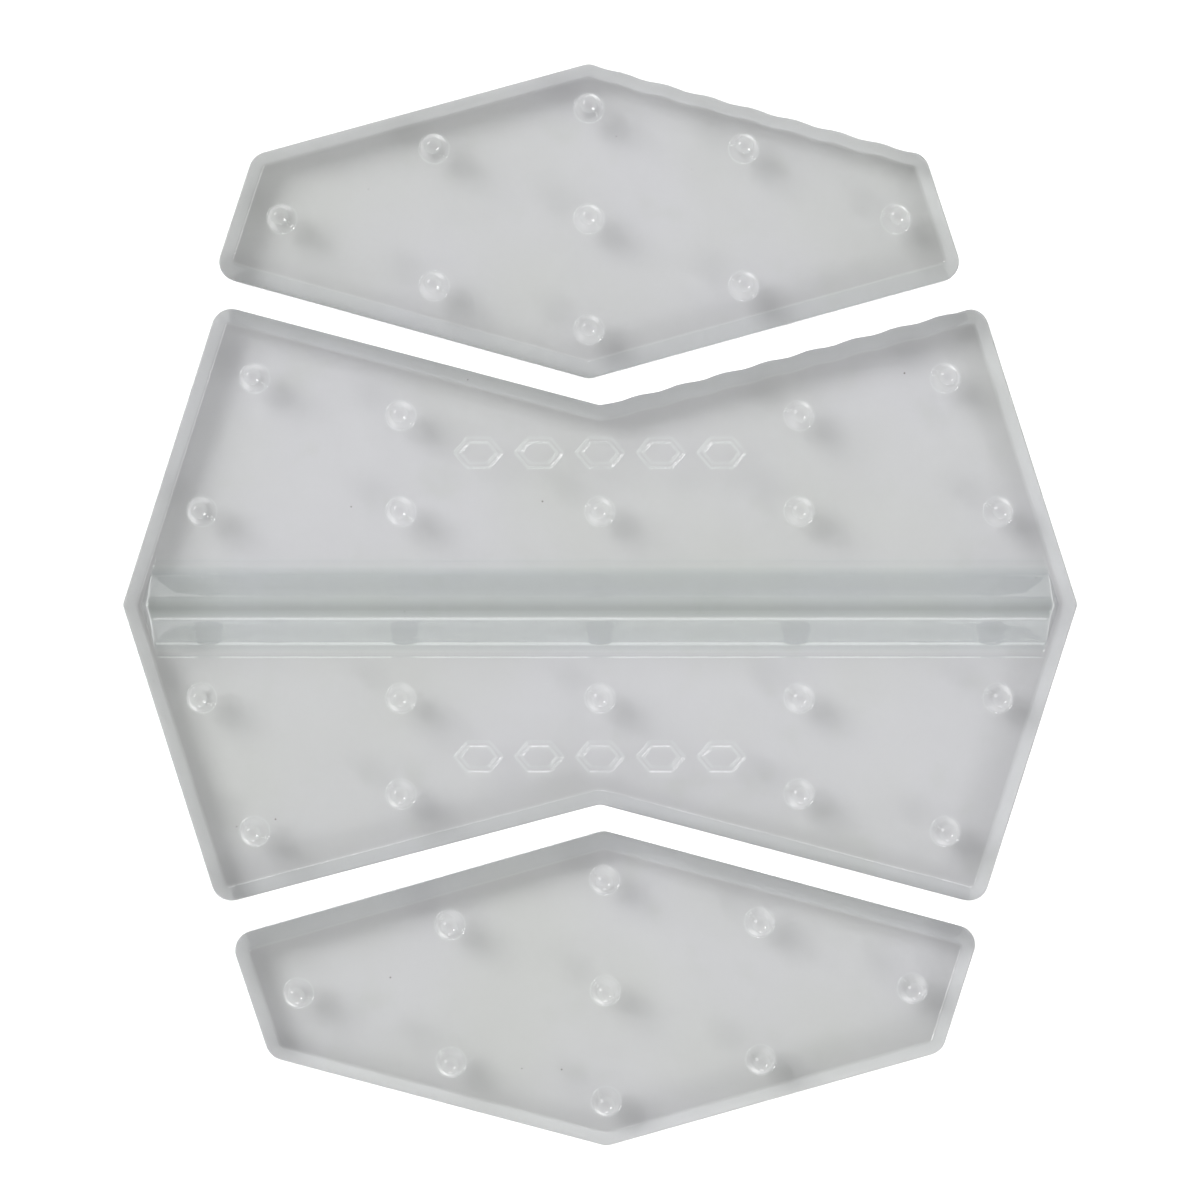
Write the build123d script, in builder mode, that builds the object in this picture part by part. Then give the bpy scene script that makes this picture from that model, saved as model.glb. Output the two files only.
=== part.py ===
"""A three-piece clear stomp pad for a snowboard, stood on its release liners.

A bow-tie shaped middle pad carries a kick ridge, and a six-sided outer pad nests into the notch on
each side of it. Every pad is one moulding with its grip studs, and has a sheet of adhesive and a
release liner under it. Lengths are in millimetres. X runs along the ridge, Y across it from the
lower pad to the upper one, Z up, with the origin on the ground under the middle of the middle pad.
"""

import os
from math import atan, cos, degrees, radians, sin, tan

from build123d import *

os.makedirs("parts", exist_ok=True)

# Layers, from the ground up
liner_thickness = 0.15
adhesive_thickness = 0.25
pad_thickness = 4.6
film_inset = 0.8  # adhesive and liner are cut this far inside the pad's outline
adhesive_z = liner_thickness
pad_z = liner_thickness + adhesive_thickness

# Middle pad: a bow-tie with a tip at each side and a notch above and below
tip_x = 76.0
middle_corner_x = 60.8
middle_corner_y = 47.8
notch_y = 31.8

# Outer pads: six sides, measured from the blunt apex that sits in the notch
near_corner_x = 59.8
far_corner_x = 53.5
near_rise = 16.5
side_height = 19.2
far_rise = 14.6
notch_gap = 4.05  # from the middle pad's notch to the outer pad's apex

# The pads are laid out by hand, so each outer pad sits a little off the centre line
upper_shift_x = -1.75
lower_shift_x = 0.65
upper_turn = 0.0
lower_turn = 180.45

# Rim of every pad: an upright wall, then a bevel up to the flat top
corner_radius = 3.2
notch_radius = 2.0
bevel_run = 2.6
bevel_drop = 3.0
shoulder_radius = 0.9  # between the bevel and the flat top
wall_height = pad_thickness - bevel_drop
bevel_taper = degrees(atan(bevel_run / bevel_drop))

# Grip studs: steep blunt cones with a domed tip
stud_height = 4.0
stud_base_radius = 2.3
stud_tip_radius = 1.35
stud_dome = 0.45  # how much of the height is the dome
stud_foot_reach = 0.35  # how far the hollow round its foot spreads out and up
stud_foot_radius = 0.455
stud_root = 0.6  # how deep a stud's solid reaches into its pad
stud_pitch_x = 31.45

# Stud places on the middle pad
ridge_row_y = 14.75
notch_stud_y = 29.9
corner_stud_x = 54.55
corner_stud_y = 35.8

# Stud places on an outer pad, from its apex and from its centre stud
centre_stud_y = 25.1
axis_stud_y = 17.5
side_stud_x = 48.5
diagonal_stud_x = 24.45
diagonal_stud_near = 10.6
diagonal_stud_far = 11.1

# Kick ridge across the middle pad
ridge_foot = 14.7  # across both feet, where they run out into the flat top
ridge_y = -0.6  # the ridge stands a little off the middle of its pad
ridge_flank_angle = 55.0
ridge_foot_radius = 3.0
ridge_crest_radius = 2.6
ridge_end_draft = 16.0
ridge_end_inset = bevel_run + 0.7

# Raised outline marks between the studs, small echoes of the outer pad's shape
mark_count = 5
mark_length = 8.2
mark_width = 5.2
mark_point = 2.2
mark_pitch = 9.6
mark_line = 1.2
mark_height = 0.35
mark_y = 24.0


def middle_outline(inset=0.0):
    """The bow-tie's outline, with rounded corners."""
    corner, notch = (middle_corner_x, middle_corner_y), (0, notch_y)
    with BuildSketch(mode=Mode.PRIVATE) as outline:
        with BuildLine():
            Polyline((tip_x, 0), corner, notch)
            mirror(about=Plane.YZ)
            mirror(about=Plane.XZ)
        make_face()
        rows = outline.vertices().group_by(Axis.Y)
        fillet(rows[0] + rows[-1], corner_radius)
        notches = outline.vertices().filter_by(lambda v: abs(v.X) < notch_radius)
        fillet(notches, notch_radius)
        if inset:
            offset(amount=-inset, kind=Kind.INTERSECTION)
    return outline.sketch


def outer_outline(inset=0.0):
    """An outer pad's outline, with its near apex at the origin and its far apex up +Y."""
    near_y = near_rise
    far_y = near_rise + side_height
    with BuildSketch(mode=Mode.PRIVATE) as outline:
        with BuildLine():
            Polyline(
                (0, 0), (near_corner_x, near_y), (far_corner_x, far_y), (0, far_y + far_rise)
            )
            mirror(about=Plane.YZ)
        make_face()
        fillet(outline.vertices(), corner_radius)
        if inset:
            offset(amount=-inset, kind=Kind.INTERSECTION)
    return outline.sketch


def plane_at(place, height):
    """The sketch plane of a pad's layer: place is (x, y, degrees turned about Z)."""
    x, y, turn = place
    return Plane(origin=(x, y, height), x_dir=(cos(radians(turn)), sin(radians(turn)), 0))


def moulded_slab(outline, place):
    """The plain body of a pad: upright wall, bevel and soft shoulder."""
    with BuildPart(mode=Mode.PRIVATE) as slab:
        with BuildSketch(plane_at(place, pad_z)):
            add(outline)
        extrude(amount=wall_height)
        with BuildSketch(plane_at(place, pad_z + wall_height)):
            add(outline)
        extrude(amount=bevel_drop, taper=bevel_taper)
        fillet(slab.faces().sort_by(Axis.Z)[-1].edges(), shoulder_radius)
    return slab.part


def grip_stud():
    """One stud, standing on z = 0 and rooted a little below it."""
    shoulder = stud_height - stud_dome
    foot = stud_base_radius + stud_foot_reach
    with BuildPart(mode=Mode.PRIVATE) as stud:
        with BuildSketch(Plane.XZ):
            with BuildLine():
                Line((0, -stud_root), (0, stud_height))
                RadiusArc((0, stud_height), (stud_tip_radius, shoulder), dome_radius())
                Line((stud_tip_radius, shoulder), (stud_base_radius, stud_foot_reach))
                RadiusArc((stud_base_radius, stud_foot_reach), (foot, 0), -stud_foot_radius)
                Polyline((foot, 0), (foot, -stud_root), (0, -stud_root))
            make_face()
        revolve(axis=Axis.Z)
    return stud.part


def dome_radius():
    """The radius of the sphere that caps a stud."""
    return (stud_tip_radius**2 + stud_dome**2) / (2 * stud_dome)


def mark_outline():
    """One raised mark: the line round a small pointed hexagon."""
    half_length, half_width = mark_length / 2, mark_width / 2
    shoulder = half_length - mark_point
    with BuildSketch(mode=Mode.PRIVATE) as mark:
        Polygon(
            (half_length, 0),
            (shoulder, half_width),
            (-shoulder, half_width),
            (-half_length, 0),
            (-shoulder, -half_width),
            (shoulder, -half_width),
        )
        offset(amount=-mark_line, kind=Kind.INTERSECTION, mode=Mode.SUBTRACT)
    return mark.sketch


def film(outline, place, height, thickness):
    """A flat sheet of adhesive or liner under a pad."""
    with BuildPart(mode=Mode.PRIVATE) as sheet:
        with BuildSketch(plane_at(place, height)):
            add(outline)
        extrude(amount=thickness)
    return sheet.part


# Places of the three pads: (x, y, degrees turned)
outer_y = notch_y + notch_gap
middle_place = (0, 0, 0)
upper_place = (upper_shift_x, outer_y, upper_turn)
lower_place = (lower_shift_x, -outer_y, lower_turn)
pad_top = pad_z + pad_thickness

stud = grip_stud()

middle_studs = [(column * stud_pitch_x, ridge_row_y) for column in range(-2, 3)]
middle_studs += [(-stud_pitch_x, notch_stud_y), (stud_pitch_x, notch_stud_y)]
middle_studs += [(-corner_stud_x, corner_stud_y), (corner_stud_x, corner_stud_y)]

outer_studs = [
    (0, centre_stud_y),
    (0, centre_stud_y - axis_stud_y),
    (0, centre_stud_y + axis_stud_y),
    (-side_stud_x, centre_stud_y),
    (side_stud_x, centre_stud_y),
]
outer_studs += [(x, centre_stud_y - diagonal_stud_near) for x in (-diagonal_stud_x, diagonal_stud_x)]
outer_studs += [(x, centre_stud_y + diagonal_stud_far) for x in (-diagonal_stud_x, diagonal_stud_x)]

# ---- Middle pad ----
with BuildPart(mode=Mode.PRIVATE) as ridge:
    # The two flanks would meet at a point; a foot fillet widens each side, a crest fillet blunts it
    fillet_reach = ridge_foot_radius * tan(radians(ridge_flank_angle / 2))
    half_base = ridge_foot / 2 - fillet_reach
    apex_height = half_base * tan(radians(ridge_flank_angle))
    half_foot = ridge_foot / 2 + stud_root
    with BuildSketch(Plane.YZ.offset(-tip_x)) as section:
        with BuildLine(Location((ridge_y, 0))):
            Polyline(
                (-half_foot, pad_top),
                (-half_base, pad_top),
                (0, pad_top + apex_height),
                (half_base, pad_top),
                (half_foot, pad_top),
                (half_foot, pad_top - stud_root),
                (-half_foot, pad_top - stud_root),
                close=True,
            )
        make_face()
        fillet(section.vertices().sort_by(Axis.Y)[-1], ridge_crest_radius)
        feet = section.vertices().group_by(Axis.Y)[1].sort_by(Axis.X)[1:-1]
        fillet(feet, ridge_foot_radius)
    extrude(amount=2 * tip_x)
    # Both ends stop in line with the bevel, leaning in a little like the rest of the moulding
    with BuildSketch(Plane.XY.offset(pad_top - stud_root)):
        add(middle_outline(ridge_end_inset))
    extrude(amount=apex_height + 2 * stud_root, taper=ridge_end_draft, mode=Mode.INTERSECT)

with BuildPart(mode=Mode.PRIVATE) as marks:
    with BuildSketch(Plane.XY.offset(pad_top - mark_height)):
        with Locations((0, mark_y), (0, -mark_y)):
            with GridLocations(mark_pitch, 0, mark_count, 1):
                add(mark_outline())
    extrude(amount=2 * mark_height)

with BuildPart() as middle_pad:
    add(moulded_slab(middle_outline(), middle_place))
    add(ridge.part)
    add(marks.part)
    with Locations([(x, y * side, pad_top) for x, y in middle_studs for side in (1, -1)]):
        add(stud)
middle_pad.part.label = "middle_pad"
export_step(middle_pad.part, "parts/middle_pad.step")

with BuildPart() as middle_adhesive:
    add(film(middle_outline(film_inset), middle_place, adhesive_z, adhesive_thickness))
middle_adhesive.part.label = "middle_adhesive"
export_step(middle_adhesive.part, "parts/middle_adhesive.step")

with BuildPart() as middle_liner:
    add(film(middle_outline(film_inset), middle_place, 0, liner_thickness))
middle_liner.part.label = "middle_liner"
export_step(middle_liner.part, "parts/middle_liner.step")

# ---- Outer pads ----
for side, place in (("upper", upper_place), ("lower", lower_place)):
    with BuildPart() as outer_pad:
        add(moulded_slab(outer_outline(), place))
        with Locations(plane_at(place, pad_top)):
            with Locations(outer_studs):
                add(stud)
    outer_pad.part.label = f"{side}_pad"
    export_step(outer_pad.part, f"parts/{side}_pad.step")

    with BuildPart() as outer_adhesive:
        add(film(outer_outline(film_inset), place, adhesive_z, adhesive_thickness))
    outer_adhesive.part.label = f"{side}_adhesive"
    export_step(outer_adhesive.part, f"parts/{side}_adhesive.step")

    with BuildPart() as outer_liner:
        add(film(outer_outline(film_inset), place, 0, liner_thickness))
    outer_liner.part.label = f"{side}_liner"
    export_step(outer_liner.part, f"parts/{side}_liner.step")
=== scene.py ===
import math

import bmesh
import bpy
from mathutils import Matrix, Vector
from mathutils.geometry import delaunay_2d_cdt


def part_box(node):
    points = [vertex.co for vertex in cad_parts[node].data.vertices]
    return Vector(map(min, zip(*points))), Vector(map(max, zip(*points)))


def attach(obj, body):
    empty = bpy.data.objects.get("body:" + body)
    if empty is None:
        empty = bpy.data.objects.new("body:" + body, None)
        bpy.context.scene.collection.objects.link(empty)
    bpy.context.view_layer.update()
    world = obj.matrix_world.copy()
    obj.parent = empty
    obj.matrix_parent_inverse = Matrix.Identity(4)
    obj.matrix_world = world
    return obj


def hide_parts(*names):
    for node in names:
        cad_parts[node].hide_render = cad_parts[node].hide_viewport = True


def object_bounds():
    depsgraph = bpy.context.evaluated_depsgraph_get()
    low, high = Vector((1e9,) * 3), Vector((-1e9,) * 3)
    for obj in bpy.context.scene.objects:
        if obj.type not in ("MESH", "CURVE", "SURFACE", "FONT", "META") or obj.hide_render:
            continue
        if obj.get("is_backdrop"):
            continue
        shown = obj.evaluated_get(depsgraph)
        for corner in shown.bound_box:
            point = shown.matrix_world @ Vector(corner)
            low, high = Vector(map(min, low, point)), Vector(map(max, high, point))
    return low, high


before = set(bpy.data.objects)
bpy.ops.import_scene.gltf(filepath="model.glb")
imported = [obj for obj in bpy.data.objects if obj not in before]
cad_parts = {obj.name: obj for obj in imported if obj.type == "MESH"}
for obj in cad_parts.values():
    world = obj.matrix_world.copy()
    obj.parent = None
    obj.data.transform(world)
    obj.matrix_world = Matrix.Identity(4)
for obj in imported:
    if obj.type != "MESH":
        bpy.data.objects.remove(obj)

scene = bpy.context.scene
cad_low, cad_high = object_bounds()
MM = 0.001

# ---------------------------------------------------------------- sizes, in millimetres
# The driving sizes of the mouldings, the same as the CAD model's.
TIP_X = 76.0
MIDDLE_CORNER = (60.8, 47.8)
NOTCH_Y = 31.8
NEAR_CORNER = (59.8, 16.5)
FAR_CORNER = (53.5, 35.7)
FAR_APEX_Y = 50.3
OUTER_Y = NOTCH_Y + 4.05
UPPER_SHIFT_X = -1.75
LOWER_SHIFT_X = 0.65
LOWER_TURN = 180.45

CORNER_RADIUS = 3.2
NOTCH_RADIUS = 2.0
TIP_RADIUS = 0.5
SMALLEST_RADIUS = 0.25

PAD_Z = 0.4
THICKNESS = 4.6
PAD_TOP = PAD_Z + THICKNESS
WALL_HEIGHT = 1.6
BEVEL_RUN = 2.6
FILM_INSET = 0.8
FILM_GAP = 0.01  # keeps the adhesive's faces off the pad's and the liner's

STUD_PITCH = 31.45
RIDGE_ROW_Y = 14.75
NOTCH_STUD_Y = 29.9
CORNER_STUD = (54.55, 35.8)
CENTRE_STUD_Y = 25.1
AXIS_STUD_Y = 17.5
SIDE_STUD_X = 48.5
DIAGONAL_STUD_X = 24.45
DIAGONAL_STUD_NEAR = 10.6
DIAGONAL_STUD_FAR = 11.1

STUD_HEIGHT = 4.0
STUD_BASE = 2.3
STUD_TIP = 1.35
STUD_DOME = 0.45
STUD_FOOT = 2.65
STUD_STEPS = 48

RIDGE_HALF_FOOT = 7.35
RIDGE_ANGLE = math.radians(55)
RIDGE_FOOT_RADIUS = 3.0
RIDGE_CREST_RADIUS = 2.6
RIDGE_END_DRAFT = math.radians(16)
RIDGE_END_INSET = BEVEL_RUN + 0.7
RIDGE_END_BLEND = 0.5  # how softly the flanks turn into the ends
RIDGE_Y = -0.6
RIDGE_BEAD = [(0.1, 0.16), (0.25, 0.2), (0.38, 0.12), (0.48, 0.0)]  # (reach past the foot, height)
CREST_Z = cad_high.z / MM

MARK_COUNT = 5
MARK_PITCH = 9.6
MARK_SIZE = (8.2, 5.2)
MARK_POINT = 2.2
MARK_LINE = 1.2
MARK_HEIGHT = 0.3  # a little lower than in the CAD model, where they are 0.35: they catch less light
MARK_Y = 24.0

MESH_SPACING = 1.6  # between points along the straight stretches

# The material of each face of a pad, by its place in the list of materials
CLEAR_SLOT, WETTED_SLOT, THICK_SLOT = range(3)


# ---------------------------------------------------------------- flat geometry
def turned(vector, angle):
    """A flat vector turned by an angle."""
    return Matrix.Rotation(angle, 2) @ vector


def corner_arc(before, here, after, radius, steps):
    """The points of the arc that rounds one corner of a path."""
    u, v = (here - before).normalized(), (after - here).normalized()
    turn = math.atan2(u.cross(v), u.dot(v))
    start = here - u * radius * math.tan(abs(turn) / 2)
    centre = start + Vector((-u.y, u.x)) * math.copysign(radius, turn)
    return [centre + turned(start - centre, turn * s / steps) for s in range(steps + 1)]


def rounded_path(corners, steps=4):
    """A path through (x, z, radius) corners with every inner corner rounded."""
    spots = [Vector(c[:2]) for c in corners]
    path = [spots[0]]
    for k in range(1, len(spots) - 1):
        path += corner_arc(spots[k - 1], spots[k], spots[k + 1], corners[k][2], steps)
    return path + [spots[-1]]


def offset_corners(corners, inset):
    """The corners of a counter-clockwise polygon whose sides move in by inset."""
    sides = []
    for k, a in enumerate(corners):
        along = (corners[(k + 1) % len(corners)] - a).normalized()
        sides.append((a + Vector((-along.y, along.x)) * inset, along))
    moved = []
    for k, (q, e) in enumerate(sides):
        p, d = sides[k - 1]
        moved.append(p + d * ((q - p).cross(e) / d.cross(e)))
    return moved


def rounded_ring(corners, radii, inset, ripple=None, arc_steps=7, spacing=MESH_SPACING):
    """An outline moved in by inset, with rounded corners.

    Every inset gives the same count of points.
    """
    moved = offset_corners(corners, inset)
    count = len(corners)
    arcs = []
    for k in range(count):
        before, here, after = moved[k - 1], moved[k], moved[(k + 1) % count]
        hollow = (here - before).cross(after - here) < 0
        radius = radii[k] + inset if hollow else max(radii[k] - inset, SMALLEST_RADIUS)
        arcs.append(corner_arc(before, here, after, radius, arc_steps))
    ring = []
    for k, arc in enumerate(arcs):
        ring += arc
        pieces = max(2, round((corners[(k + 1) % count] - corners[k]).length / spacing))
        start, end = arc[-1], arcs[(k + 1) % count][0]
        ring += [start.lerp(end, s / pieces) for s in range(1, pieces)]
    return [p + ripple(p) for p in ring] if ripple else ring


def circle(middle, radius, steps=STUD_STEPS):
    x, y = middle
    turns = [2 * math.pi * k / steps for k in range(steps)]
    return [Vector((x + radius * math.cos(t), y + radius * math.sin(t))) for t in turns]


class Outline:
    """A closed flat loop that can say what is inside it and how far off a point is."""

    def __init__(self, corners):
        self.corners = [p.to_2d() for p in corners]
        self.low = Vector((min(p.x for p in self.corners), min(p.y for p in self.corners)))
        self.high = Vector((max(p.x for p in self.corners), max(p.y for p in self.corners)))

    def near(self, point, gap=0.0):
        across = self.low.x - gap < point.x < self.high.x + gap
        return across and self.low.y - gap < point.y < self.high.y + gap

    def holds(self, point):
        inside = False
        if self.near(point):
            before = self.corners[-1]
            for after in self.corners:
                if (after.y > point.y) != (before.y > point.y):
                    share = (point.y - after.y) / (before.y - after.y)
                    if point.x < after.x + share * (before.x - after.x):
                        inside = not inside
                before = after
        return inside

    def distance(self, point):
        best = math.inf
        before = self.corners[-1]
        for after in self.corners:
            side = after - before
            share = (point - before).dot(side) / max(side.length_squared, 1e-12)
            best = min(best, (before + side * max(0, min(1, share)) - point).length)
            before = after
        return best


def scattered(outline, gap, step, keep_off):
    """Staggered points inside an outline, clear of its edge and of the loops in keep_off."""
    found = []
    size = outline.high - outline.low
    rows_apart = step * 0.866  # so that neighbours make equal-sided triangles
    for r in range(int(size.y / rows_apart) + 1):
        for c in range(int(size.x / step) + 1):
            p = outline.low + Vector(((c + r % 2 / 2) * step, r * rows_apart))
            if outline.holds(p) and outline.distance(p) > gap:
                if not any(o.near(p, gap) and (o.holds(p) or o.distance(p) < gap) for o in keep_off):
                    found.append(p)
    return found


# ---------------------------------------------------------------- mesh building
class Shell:
    """The points and faces of one closed moulding, in millimetres, about its own origin."""

    def __init__(self):
        self.points = []
        self.faces = []
        self.slots = []

    def face(self, corners, slot=CLEAR_SLOT):
        self.faces.append(corners)
        self.slots.append(slot)

    def ring(self, flat, z):
        """Adds a closed ring of points at one height and returns their numbers."""
        first = len(self.points)
        self.points += [Vector((p[0], p[1], z)) for p in flat]
        return list(range(first, len(self.points)))

    def join(self, lower, upper):
        """Quads between two rings with the same count of points."""
        for k in range(len(lower)):
            after = (k + 1) % len(lower)
            self.face((lower[k], lower[after], upper[after], upper[k]))

    def stack(self, rings):
        for lower, upper in zip(rings, rings[1:]):
            self.join(lower, upper)

    def cap(self, ring, z):
        """Closes a ring with a fan round its middle."""
        middle = sum((self.points[i] for i in ring), Vector()) / len(ring)
        self.points.append(Vector((middle.x, middle.y, z)))
        for k, i in enumerate(ring):
            self.face((i, ring[(k + 1) % len(ring)], len(self.points) - 1))

    def fill(self, loops, z, extra=(), slot=CLEAR_SLOT):
        """Triangles between nested loops: inside an odd number of them is solid."""
        flat, number, edges = [], [], []
        for loop in loops:
            first = len(flat)
            for k, i in enumerate(loop):
                flat.append(self.points[i].to_2d())
                number.append(i)
                edges.append((first + k, first + (k + 1) % len(loop)))
        for p in extra:
            number.append(len(self.points))
            self.points.append(Vector((p[0], p[1], z)))
            flat.append(Vector(p))
        outlines = [Outline([self.points[i] for i in loop]) for loop in loops]
        spots, _, triangles, origin, _, _ = delaunay_2d_cdt(flat, edges, [], 1, 1e-6)
        for triangle in triangles:
            middle = sum((spots[i] for i in triangle), Vector((0, 0))) / 3
            if sum(outline.holds(middle) for outline in outlines) % 2:
                self.face([number[origin[i][0]] for i in triangle], slot)

    def piece(self, name, place, materials):
        """A Blender object in metres. place is (x, y, degrees turned)."""
        x, y, turn = place
        stand = Matrix.Translation((x, y, 0)) @ Matrix.Rotation(math.radians(turn), 4, "Z")
        data = bpy.data.meshes.new(name)
        data.from_pydata([(stand @ p) * MM for p in self.points], [], self.faces)
        for made in materials:
            data.materials.append(made)
        data.polygons.foreach_set("material_index", self.slots)
        mesh = bmesh.new()
        mesh.from_mesh(data)
        bmesh.ops.recalc_face_normals(mesh, faces=mesh.faces)
        open_edges = [e for e in mesh.edges if not e.is_manifold]
        if open_edges:
            raise ValueError(f"{name} has {len(open_edges)} open edges")
        mesh.to_mesh(data)
        mesh.free()
        data.polygons.foreach_set("use_smooth", [True] * len(data.polygons))
        data.set_sharp_from_angle(angle=math.radians(40))
        made = bpy.data.objects.new(name, data)
        scene.collection.objects.link(made)
        return made


# ---------------------------------------------------------------- the shapes
def symmetric(right_side):
    """A counter-clockwise outline from its right-hand side, given from bottom to top."""
    right = [Vector(p) for p in right_side]
    return right + [Vector((-p.x, p.y)) for p in reversed(right) if p.x > 1e-6]


def middle_outline():
    x, y = MIDDLE_CORNER
    corners = symmetric([(0, -NOTCH_Y), (x, -y), (TIP_X, 0), (x, y), (0, NOTCH_Y)])
    side = [CORNER_RADIUS, TIP_RADIUS, CORNER_RADIUS]
    return corners, [NOTCH_RADIUS, *side, NOTCH_RADIUS, *side]


def outer_outline():
    corners = symmetric([(0, 0), NEAR_CORNER, FAR_CORNER, (0, FAR_APEX_Y)])
    return corners, [CORNER_RADIUS] * len(corners)


def rim_profile():
    """(inset, height) from the edge of the adhesive, round the wall and bevel, to the flat top."""
    corners = [
        (FILM_INSET, 0, 0),
        (0, 0, 0.12),
        (0.04, WALL_HEIGHT, 0.3),
        (BEVEL_RUN, THICKNESS, 0.7),
        (BEVEL_RUN + 0.5, THICKNESS, 0),
    ]
    return rounded_path(corners)


def stud_profile():
    """(radius, height) of a stud, from where its foot runs out to the middle of its tip."""
    shoulder = STUD_HEIGHT - STUD_DOME
    corners = [
        (STUD_FOOT + 0.1, 0, 0),
        (STUD_BASE, 0, 0.35),
        (STUD_TIP, shoulder, 0.3),
        (STUD_TIP * 0.55, STUD_HEIGHT - STUD_DOME * 0.2, 1.2),
        (0.15, STUD_HEIGHT, 0),
    ]
    return rounded_path(corners)


def add_stud(shell, middle):
    """Adds a stud and returns its foot loop."""
    rings = [shell.ring(circle(middle, r), PAD_TOP + h) for r, h in stud_profile()]
    shell.stack(rings)
    shell.cap(rings[-1], PAD_TOP + STUD_HEIGHT)
    return rings[0]


def ridge_section():
    """(y, height) of the ridge from one foot over the crest to the other."""
    base = RIDGE_HALF_FOOT - RIDGE_FOOT_RADIUS * math.tan(RIDGE_ANGLE / 2)
    corners = [
        (-RIDGE_HALF_FOOT, 0, 0),
        (-base, 0, RIDGE_FOOT_RADIUS),
        (0, base * math.tan(RIDGE_ANGLE), RIDGE_CREST_RADIUS),
        (base, 0, RIDGE_FOOT_RADIUS),
        (RIDGE_HALF_FOOT, 0, 0),
    ]
    path = rounded_path(corners, steps=8)[1:-1]
    bead = [(RIDGE_HALF_FOOT + reach, h) for reach, h in RIDGE_BEAD]
    path = [Vector((-y, h)) for y, h in reversed(bead)] + path + [Vector(spot) for spot in bead]
    dense = [path[0]]
    for before, after in zip(path, path[1:]):
        pieces = max(1, round((after - before).length / 0.7))
        dense += [before.lerp(after, s / pieces) for s in range(1, pieces + 1)]
    return dense


def soft_least(a, b, blend):
    """The lesser of two heights, rounded where they meet."""
    share = max(blend - abs(a - b), 0) / blend
    return max(0.0, min(a, b) - share * share * blend / 4)


def add_ridge(shell):
    """Adds the ridge, its ends cut in line with the pad's sides, and returns its foot loop."""
    lean = (TIP_X - MIDDLE_CORNER[0]) / MIDDLE_CORNER[1]
    slant = math.hypot(1, lean)
    section = ridge_section()
    crest = max(h for _, h in section)
    wall = crest * math.tan(RIDGE_END_DRAFT)
    # Columns of points stand close together down the end face and spread out behind it
    depths = [wall * s / 14 for s in range(15)] + [wall + d for d in (0.2, 0.5, 1, 2, 4)]
    reach = TIP_X - (RIDGE_END_INSET + depths[-1]) * slant
    columns = []
    for depth in depths:
        rise = depth / math.tan(RIDGE_END_DRAFT)
        x = TIP_X - (RIDGE_END_INSET + depth) * slant
        slanted = [x - abs(y + RIDGE_Y) * lean for y, _ in section]
        column = [(at, y, soft_least(h, rise, RIDGE_END_BLEND)) for at, (y, h) in zip(slanted, section)]
        columns.append(column)
    between = round(2 * reach / MESH_SPACING)
    for s in range(1, between):
        share = 1 - 2 * s / between
        bend = max(0.0, 1 - (1 - abs(share)) * 6)  # columns run straight across a sixth of the way in
        x = reach * share
        lag = [math.copysign(abs(y + RIDGE_Y) * lean * bend, x) for y, _ in section]
        columns.append([(x - off, y, h) for off, (y, h) in zip(lag, section)])
    columns += [[(-x, y, h) for x, y, h in column] for column in reversed(columns[: len(depths)])]
    grid = []
    for column in columns:
        first = len(shell.points)
        shell.points += [Vector((x, y + RIDGE_Y, PAD_TOP + h)) for x, y, h in column]
        grid.append(list(range(first, len(shell.points))))
    for a, b in zip(grid, grid[1:]):
        for k in range(len(section) - 1):
            shell.face((a[k], b[k], b[k + 1], a[k + 1]), THICK_SLOT)
    foot = [column[0] for column in grid] + grid[-1][1:-1]
    foot += [column[-1] for column in reversed(grid)] + grid[0][-2:0:-1]
    return foot


def add_mark(shell, middle):
    """Adds one raised outline mark and returns its two foot loops."""
    length, width = MARK_SIZE[0] / 2, MARK_SIZE[1] / 2
    right = [Vector((length - MARK_POINT, -width)), Vector((length, 0))]
    right.append(Vector((length - MARK_POINT, width)))
    corners = right + [-p for p in right]
    rise = [(0, 0), (0.1, 0.1), (0.2, 0.35), (0.3, 0.7), (0.4, 0.93), (0.52, 1)]
    edge = [(inset, share * MARK_HEIGHT) for inset, share in rise]

    def loop(inset, z):
        flat = rounded_ring(corners, [0.4] * 6, inset, arc_steps=3, spacing=1.2)
        return shell.ring([p + Vector(middle) for p in flat], PAD_TOP + z)

    outside = [loop(inset, z) for inset, z in edge]
    inside = [loop(MARK_LINE - inset, z) for inset, z in edge]
    shell.stack(outside)
    shell.stack(inside)
    shell.join(outside[-1], inside[-1])
    return outside[0], inside[0]


def pad(name, outline, studs, place, materials, ridge=False, marks=(), ripple=None):
    """One clear moulding: rim, flat top and all that stands on it."""
    shell = Shell()
    rings = [
        shell.ring(rounded_ring(*outline, inset, ripple), PAD_Z + z) for inset, z in rim_profile()
    ]
    shell.stack(rings)
    shell.fill([rings[0]], PAD_Z, slot=WETTED_SLOT)
    loops = [add_stud(shell, middle) for middle in studs]
    if ridge:
        loops.append(add_ridge(shell))
    for middle in marks:
        loops += add_mark(shell, middle)
    flat = Outline([shell.points[i] for i in rings[-1]])
    feet = [Outline([shell.points[i] for i in loop]) for loop in loops]
    shell.fill([rings[-1]] + loops, PAD_TOP, scattered(flat, gap=0.8, step=2.4, keep_off=feet))
    return shell.piece(name, place, materials)


def film(name, outline, inset, low, high, place, materials):
    """A flat sheet with a soft edge, under a pad."""
    shell = Shell()
    edge = min(0.04, (high - low) / 3)
    steps = [(inset + edge, low), (inset, low + edge), (inset, high - edge), (inset + edge, high)]
    rings = [shell.ring(rounded_ring(*outline, d), z) for d, z in steps]
    shell.stack(rings)
    shell.fill([rings[0]], low)
    shell.fill([rings[-1]], high)
    return shell.piece(name, place, materials)


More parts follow.
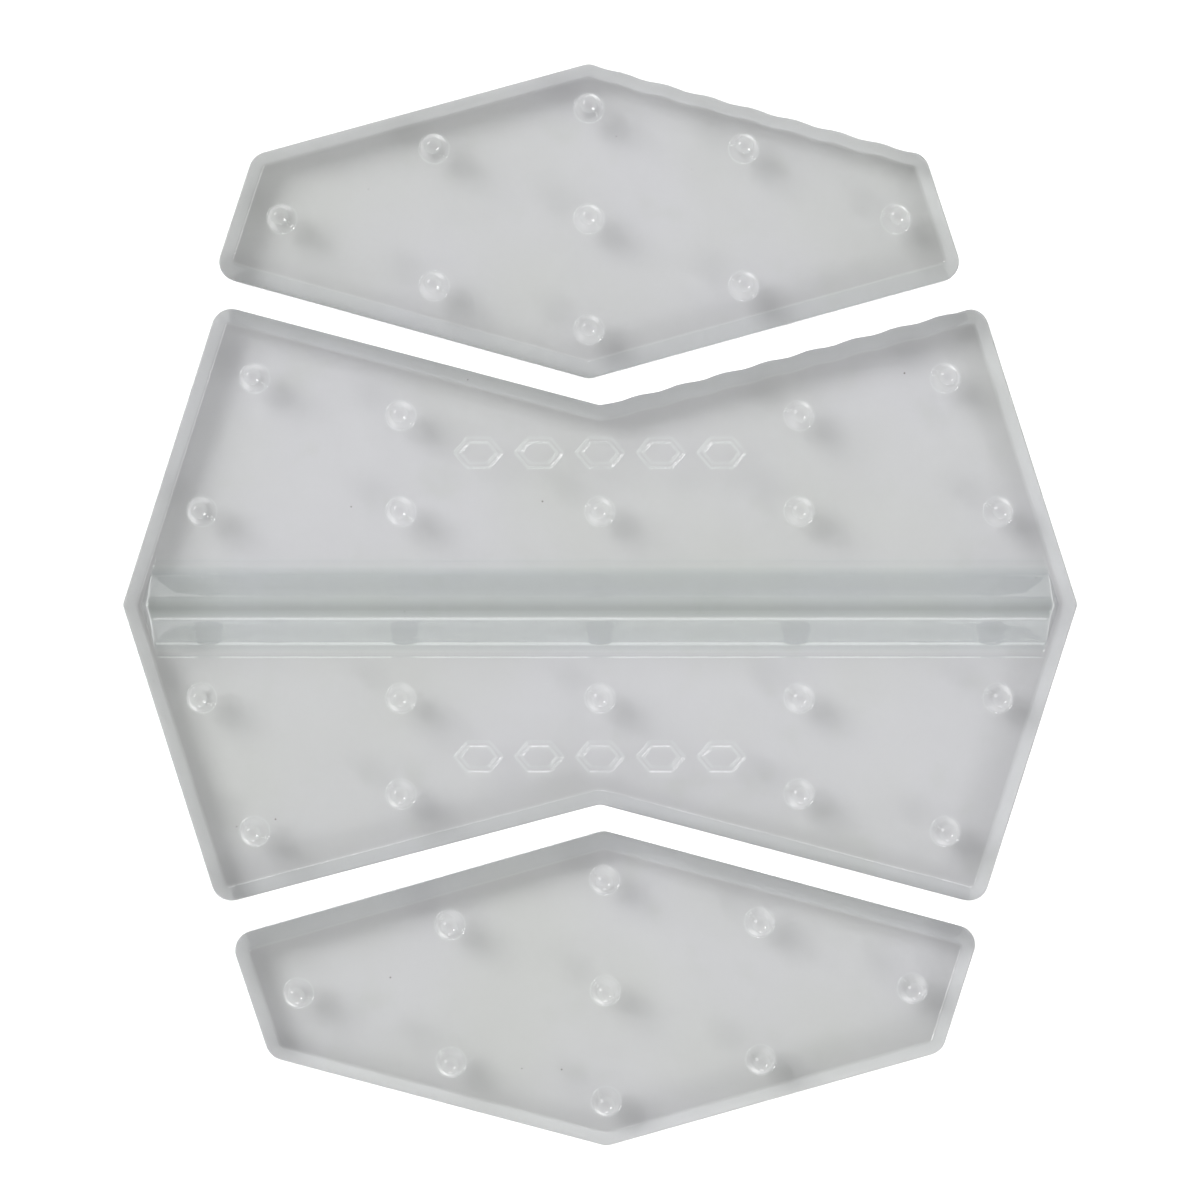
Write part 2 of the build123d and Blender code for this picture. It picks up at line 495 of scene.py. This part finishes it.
def middle_studs():
    upper_half = [(k * STUD_PITCH, RIDGE_ROW_Y) for k in range(-2, 3)]
    upper_half += [(x, NOTCH_STUD_Y) for x in (-STUD_PITCH, STUD_PITCH)]
    upper_half += [(side * CORNER_STUD[0], CORNER_STUD[1]) for side in (-1, 1)]
    return upper_half + [(x, -y) for x, y in upper_half]


def outer_studs():
    spots = [(0, CENTRE_STUD_Y + off) for off in (0, -AXIS_STUD_Y, AXIS_STUD_Y)]
    spots += [(x, CENTRE_STUD_Y) for x in (-SIDE_STUD_X, SIDE_STUD_X)]
    diagonal = [CENTRE_STUD_Y - DIAGONAL_STUD_NEAR, CENTRE_STUD_Y + DIAGONAL_STUD_FAR]
    return spots + [(x, y) for x in (-DIAGONAL_STUD_X, DIAGONAL_STUD_X) for y in diagonal]


def hand_trimmed_ripple(start, end, depth=0.15, pitch=7.1, fade_in=4.0, rim_width=4.0):
    """Shallow scallops along one side of an outline, from start to end."""
    a, b = Vector(start), Vector(end)
    along = (b - a).normalized()
    inward = Vector((-along.y, along.x))

    def ripple(point):
        reach = (point - a).dot(along)
        off = (point - a).dot(inward)
        if not (-0.1 < off < rim_width and 0 < reach < (b - a).length):
            return Vector((0, 0))
        fade = min(1, reach / fade_in, ((b - a).length - reach) / fade_in)
        return inward * depth * fade * (1 - math.cos(2 * math.pi * reach / pitch))

    return ripple


# ---------------------------------------------------------------- materials
def new_material(name):
    made = bpy.data.materials.new(name)
    made.use_nodes = True
    return made, made.node_tree, made.node_tree.nodes["Principled BSDF"]


def node(tree, kind, inputs=None, **settings):
    """Adds a node. inputs are values, or output sockets to link."""
    made = tree.nodes.new(f"ShaderNode{kind}")
    for name, value in settings.items():
        setattr(made, name, value)
    for name, value in (inputs or {}).items():
        if isinstance(value, bpy.types.NodeSocket):
            tree.links.new(value, made.inputs[name])
        else:
            made.inputs[name].default_value = value
    return made


def ramp(tree, factor, stops):
    """The colour output of a ramp through (position, colour) stops."""
    made = node(tree, "ValToRGB", {0: factor})
    elements = made.color_ramp.elements
    while len(elements) < len(stops):
        elements.new(1.0)
    for element, (position, colour) in zip(elements, stops):
        element.position = position
        element.color = (*colour, 1) if isinstance(colour, tuple) else (colour,) * 3 + (1,)
    return made.outputs["Color"]


def noise(tree, scale, detail=3.0, roughness=0.55):
    """A noise over the object's own coordinates, which are in metres."""
    place = node(tree, "TexCoord").outputs["Object"]
    grain = {"Scale": scale, "Detail": detail, "Roughness": roughness}
    return node(tree, "TexNoise", {"Vector": place, **grain}).outputs["Fac"]


def mixed(tree, kind, factor, a, b):
    """Two colours blended in the given way."""
    made = node(tree, "Mix", {0: factor}, data_type="RGBA", blend_type=kind)
    for socket, value in ((made.inputs[6], a), (made.inputs[7], b)):
        if isinstance(value, bpy.types.NodeSocket):
            tree.links.new(value, socket)
        else:
            socket.default_value = (*value, 1)
    return made.outputs[2]


def clear_polyurethane(name, slope_tint_and_shade, lamp_tints, height_tint_and_shade=None):
    """Clear moulded plastic. slope_tint_and_shade and lamp_tints are ramps from upright walls to flat
    faces; slope_tint_and_shade is partly the green seen through a thick edge and partly painted shade on
    steep faces.

    height_tint_and_shade is a ramp from the pad's flat top to the ridge's crest: partly the thicker
    plastic's green, partly painted shade along the ridge.

    Light on its way to or from a matt surface goes straight through it, so that what lies
    underneath is lit, less so where a steep face would bend the light away.
    """
    made, tree, shader = new_material(name)
    shader.inputs["Roughness"].default_value = 0.05
    shader.inputs["IOR"].default_value = 1.5
    shader.inputs["Transmission Weight"].default_value = 1.0
    shader.inputs["Sheen Weight"].default_value = 0.6
    shader.inputs["Sheen Roughness"].default_value = 0.35

    normal = node(tree, "NewGeometry").outputs["True Normal"]
    upright = node(tree, "SeparateXYZ", {0: normal}).outputs["Z"]
    flatness = node(tree, "Math", {0: upright}, operation="ABSOLUTE").outputs[0]
    haze = ramp(tree, noise(tree, 70.0), [(0.3, 0.955), (0.7, 1.0)])
    # Base colour: a random haze times a ramp over slope, which greens the upright walls and paints shade
    # on steep faces
    tint_and_shade = mixed(tree, "MULTIPLY", 1.0, ramp(tree, flatness, slope_tint_and_shade), haze)
    if height_tint_and_shade:
        # Greener and darker up the ridge: partly the thicker plastic's tint, partly painted shade
        place = node(tree, "TexCoord").outputs["Object"]
        height = node(tree, "SeparateXYZ", {0: place}).outputs["Z"]
        limits = {"From Min": PAD_TOP * MM, "From Max": CREST_Z * MM}
        share = node(tree, "MapRange", {"Value": height, **limits}).outputs[0]
        tint_and_shade = mixed(tree, "MULTIPLY", 1.0, tint_and_shade, ramp(tree, share, height_tint_and_shade))
        # The ridge's steep ends, seen edge-on from above, would shine white
        tree.links.new(ramp(tree, flatness, [(0.3, 0.1), (0.5, 0.6)]), shader.inputs["Sheen Weight"])
    tree.links.new(tint_and_shade, shader.inputs["Base Color"])
    unevenness = {"Height": noise(tree, 160.0, 2.0), "Strength": 0.05, "Distance": 0.0002}
    waves = node(tree, "Bump", unevenness).outputs[0]
    tree.links.new(waves, shader.inputs["Normal"])

    leaving = node(tree, "NewGeometry").outputs["Backfacing"]
    lamp_tint = mixed(tree, "MIX", leaving, (1, 1, 1), ramp(tree, flatness, lamp_tints))
    open_way = node(tree, "BsdfTransparent", {0: lamp_tint}).outputs[0]
    path = node(tree, "LightPath").outputs
    either = {0: path["Is Shadow Ray"], 1: path["Is Diffuse Ray"]}
    straight = node(tree, "Math", either, operation="MAXIMUM").outputs[0]
    glass = node(tree, "MixShader", {0: straight, 1: shader.outputs[0], 2: open_way})
    tree.links.new(glass.outputs[0], tree.nodes["Material Output"].inputs["Surface"])
    return made


def wetted_face():
    """Where the adhesive wets the underside there is no surface to see."""
    made, tree, shader = new_material("wetted_face")
    clear = node(tree, "BsdfTransparent").outputs[0]
    tree.links.new(clear, tree.nodes["Material Output"].inputs["Surface"])
    tree.nodes.remove(shader)
    return made


def milky_adhesive():
    """A milky film, cloudier where it hasn't wetted out, with dust caught in it."""
    made, tree, shader = new_material("milky_adhesive")
    place = node(tree, "TexCoord").outputs["Object"]
    # Each cell draws a number: the few that draw a high one hold a speck, larger for a higher number
    cells = node(tree, "TexVoronoi", {"Vector": place, "Scale": 330.0})
    size = node(tree, "SeparateXYZ", {0: cells.outputs["Color"]}).outputs["X"]
    reach = node(tree, "Math", {0: size, 1: 0.125}, operation="MULTIPLY").outputs[0]
    reach = node(tree, "Math", {0: reach, 1: 0.075}, operation="SUBTRACT").outputs[0]
    off = cells.outputs["Distance"]
    speck = node(tree, "Math", {0: off, 1: reach}, operation="LESS_THAN").outputs[0]
    patches = [(0.35, (0.327, 0.333, 0.327)), (0.6, (0.342, 0.344, 0.354))]
    cloud = ramp(tree, noise(tree, 22.0, 2.0), patches)
    smudge = ramp(tree, noise(tree, 90.0, 5.0, 0.6), [(0.57, 0.0), (0.75, 0.6)])
    colour = mixed(tree, "MIX", smudge, cloud, (0.305, 0.315, 0.302))
    colour = mixed(tree, "MIX", speck, colour, (0.12, 0.11, 0.1))
    tree.links.new(colour, shader.inputs["Base Color"])
    shader.inputs["Roughness"].default_value = 0.6
    return made


def liner_film():
    """Pale siliconised film with a faint paper grain."""
    made, tree, shader = new_material("liner_film")
    shades = [(0.3, (0.56, 0.56, 0.555)), (0.7, (0.6, 0.6, 0.595))]
    grain = ramp(tree, noise(tree, 900.0, 4.0), shades)
    tree.links.new(grain, shader.inputs["Base Color"])
    shader.inputs["Roughness"].default_value = 0.5
    bump = node(tree, "Bump", {"Height": noise(tree, 1800.0), "Strength": 0.1, "Distance": 0.0001})
    tree.links.new(bump.outputs[0], shader.inputs["Normal"])
    return made


# ---------------------------------------------------------------- the object
CLEAR = clear_polyurethane(
    "clear_polyurethane",
    # Upright walls darker and greener: partly the green of the thick edge, partly painted shade; bevels
    # a touch darker: painted shade
    slope_tint_and_shade=[
        (0.1, (0.6, 0.66, 0.62)), (0.2, 1.0), (0.5, (0.96, 0.985, 0.985)),
        (0.7, (0.97, 0.99, 1.0)), (0.9, 1.0),
    ],
    lamp_tints=[(0.1, 0.5), (0.25, 0.45), (0.4, 0.45), (0.55, 0.42), (0.72, 0.45), (0.95, 0.99)],
)
THICK = clear_polyurethane(
    "clear_polyurethane_thick",
    # Steep faces, that is the ridge's ends, much darker: painted shade
    slope_tint_and_shade=[(0.3, 0.55), (0.45, 0.96), (0.9, 1.0)],
    lamp_tints=[(0.15, 0.4), (0.6, 0.8), (1.0, 0.98)],
    # Partly the thicker plastic's green, partly painted shade: a lighter band near the crest and a dark
    # line along it
    height_tint_and_shade=[
        (0.0, (0.98, 0.99, 0.985)), (0.035, (0.76, 0.81, 0.8)), (0.1, (0.64, 0.7, 0.69)),
        (0.6, (0.66, 0.72, 0.71)), (0.86, (0.76, 0.82, 0.81)), (0.94, (0.75, 0.81, 0.79)),
        (1.0, (0.58, 0.64, 0.6)),
    ],
)
WETTED, ADHESIVE, LINER = wetted_face(), milky_adhesive(), liner_film()
PAD_MATERIALS = [CLEAR, WETTED, THICK]
PLACES = {
    "middle": (0, 0, 0),
    "upper": (UPPER_SHIFT_X, OUTER_Y, 0),
    "lower": (LOWER_SHIFT_X, -OUTER_Y, LOWER_TURN),
}
mark_row = [(k - (MARK_COUNT - 1) / 2) * MARK_PITCH for k in range(MARK_COUNT)]
for side, place in PLACES.items():
    outline = middle_outline() if side == "middle" else outer_outline()
    name = f"{side}_clear_pad"
    if side == "middle":
        marks = [(x, y) for x in mark_row for y in (MARK_Y, -MARK_Y)]
        ripple = hand_trimmed_ripple(MIDDLE_CORNER, (0, NOTCH_Y))
        extras = {"ridge": True, "marks": marks, "ripple": ripple}
        piece = pad(name, outline, middle_studs(), place, PAD_MATERIALS, **extras)
    else:
        ripple = hand_trimmed_ripple(FAR_CORNER, (0, FAR_APEX_Y)) if side == "upper" else None
        piece = pad(name, outline, outer_studs(), place, PAD_MATERIALS, ripple=ripple)
    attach(piece, f"{side}_module")
    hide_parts(f"{side}_pad")

    low, high = (Vector(c).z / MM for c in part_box(f"{side}_adhesive"))
    low, high = low + FILM_GAP, high - FILM_GAP
    glue = film(f"{side}_adhesive_film", outline, FILM_INSET, low, high, place, [ADHESIVE])
    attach(glue, f"{side}_module")
    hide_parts(f"{side}_adhesive")

    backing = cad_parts[f"{side}_liner"]
    backing.data.materials.clear()
    backing.data.materials.append(LINER)


# ---------------------------------------------------------------- studio
def studio_floor(reach=3.0, gap=0.00005):
    """A white floor, just clear of the liners' undersides."""
    data = bpy.data.meshes.new("floor")
    corners = [(-reach, -reach, 0), (reach, -reach, 0), (reach, reach, 0), (-reach, reach, 0)]
    data.from_pydata(corners, [], [(0, 1, 2, 3)])
    piece = bpy.data.objects.new("floor", data)
    piece.location.z = -gap
    scene.collection.objects.link(piece)
    made, tree, shader = new_material("studio_floor")
    shader.inputs["Base Color"].default_value = (0.9, 0.9, 0.9, 1)
    shader.inputs["Roughness"].default_value = 0.6
    data.materials.append(made)
    piece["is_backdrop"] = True


def direction_to(azimuth, elevation):
    """The unit vector towards a place in the sky, from angles in degrees."""
    a, e = math.radians(azimuth), math.radians(elevation)
    return Vector((math.cos(e) * math.cos(a), math.cos(e) * math.sin(a), math.sin(e)))


def round_lamp(name, azimuth, elevation, distance, size, watts):
    """A soft round lamp that lights the matt surfaces; the world is what the glossy ones show."""
    towards = direction_to(azimuth, elevation)
    data = bpy.data.lights.new(name, "AREA")
    data.shape = "DISK"
    data.size = size
    data.energy = watts
    lamp = bpy.data.objects.new(name, data)
    scene.collection.objects.link(lamp)
    lamp.location = towards * distance
    lamp.rotation_euler = (-towards).to_track_quat("-Z", "Y").to_euler()
    lamp.visible_transmission = False
    lamp.visible_glossy = False


KEY_AZIMUTH, KEY_ELEVATION = 148, 42
TENT_BACK, TENT_FRONT = 0.75, 1.3
# (azimuth, elevation, radius as an angle, strength) of what shines on the glossy edges
SOFTBOXES = [
    (KEY_AZIMUTH, KEY_ELEVATION, math.radians(13), 5.0),
    (-35, 40, math.radians(9), 14.0),
    (-90, 75, math.radians(8), 1.6),
    (-90, 14, math.radians(12), 4.0),
]


def studio_world():
    """A soft white tent: brighter in front than behind, and dark overhead, where the camera looks in."""
    world = bpy.data.worlds.new("studio")
    world.use_nodes = True
    tree = world.node_tree
    direction = node(tree, "TexCoord").outputs["Generated"]
    parts = node(tree, "SeparateXYZ", {0: direction}).outputs
    bands = [(0.0, 0.6), (0.15, 1.0), (0.6, 0.95), (0.9, 0.6), (0.97, 0.05)]  # from the horizon up
    height = ramp(tree, parts["Z"], bands)
    limits = {"From Min": 1.0, "From Max": -1.0, "To Min": TENT_BACK, "To Max": TENT_FRONT}
    level = node(tree, "MapRange", {"Value": parts["Y"], **limits}).outputs[0]
    for azimuth, elevation, radius, strength in SOFTBOXES:
        both = {0: direction, 1: direction_to(azimuth, elevation)}
        facing = node(tree, "VectorMath", both, operation="DOT_PRODUCT").outputs["Value"]
        outside, inside = math.cos(radius * 1.3), math.cos(radius * 0.7)
        edges = {"From Min": outside, "From Max": inside, "To Max": strength}
        glow = node(tree, "MapRange", {"Value": facing, **edges}).outputs[0]
        level = node(tree, "Math", {0: level, 1: glow}, operation="ADD").outputs[0]
    background = tree.nodes["Background"]
    tree.links.new(height, background.inputs["Color"])
    tree.links.new(level, background.inputs["Strength"])
    scene.world = world


studio_floor()
round_lamp("key", KEY_AZIMUTH, KEY_ELEVATION, distance=9.0, size=5.4, watts=1008)
studio_world()
scene.view_settings.view_transform = "Standard"

# The photograph's viewing angle: straight above, from about half a metre
CAMERA_Y, CAMERA_Z = 0.00075, 0.47
VIEW_WIDTH = 0.1908  # what the picture's width takes in, VIEW_LEVEL above the floor
VIEW_LEVEL = 0.002
camera = bpy.data.objects.new("camera", bpy.data.cameras.new("camera"))
scene.collection.objects.link(camera)
scene.camera = camera
camera.location = (0, CAMERA_Y, CAMERA_Z)
camera.data.sensor_width = 36
camera.data.lens = camera.data.sensor_width * (CAMERA_Z - VIEW_LEVEL) / VIEW_WIDTH
camera.data.clip_start = 0.05

low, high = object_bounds()
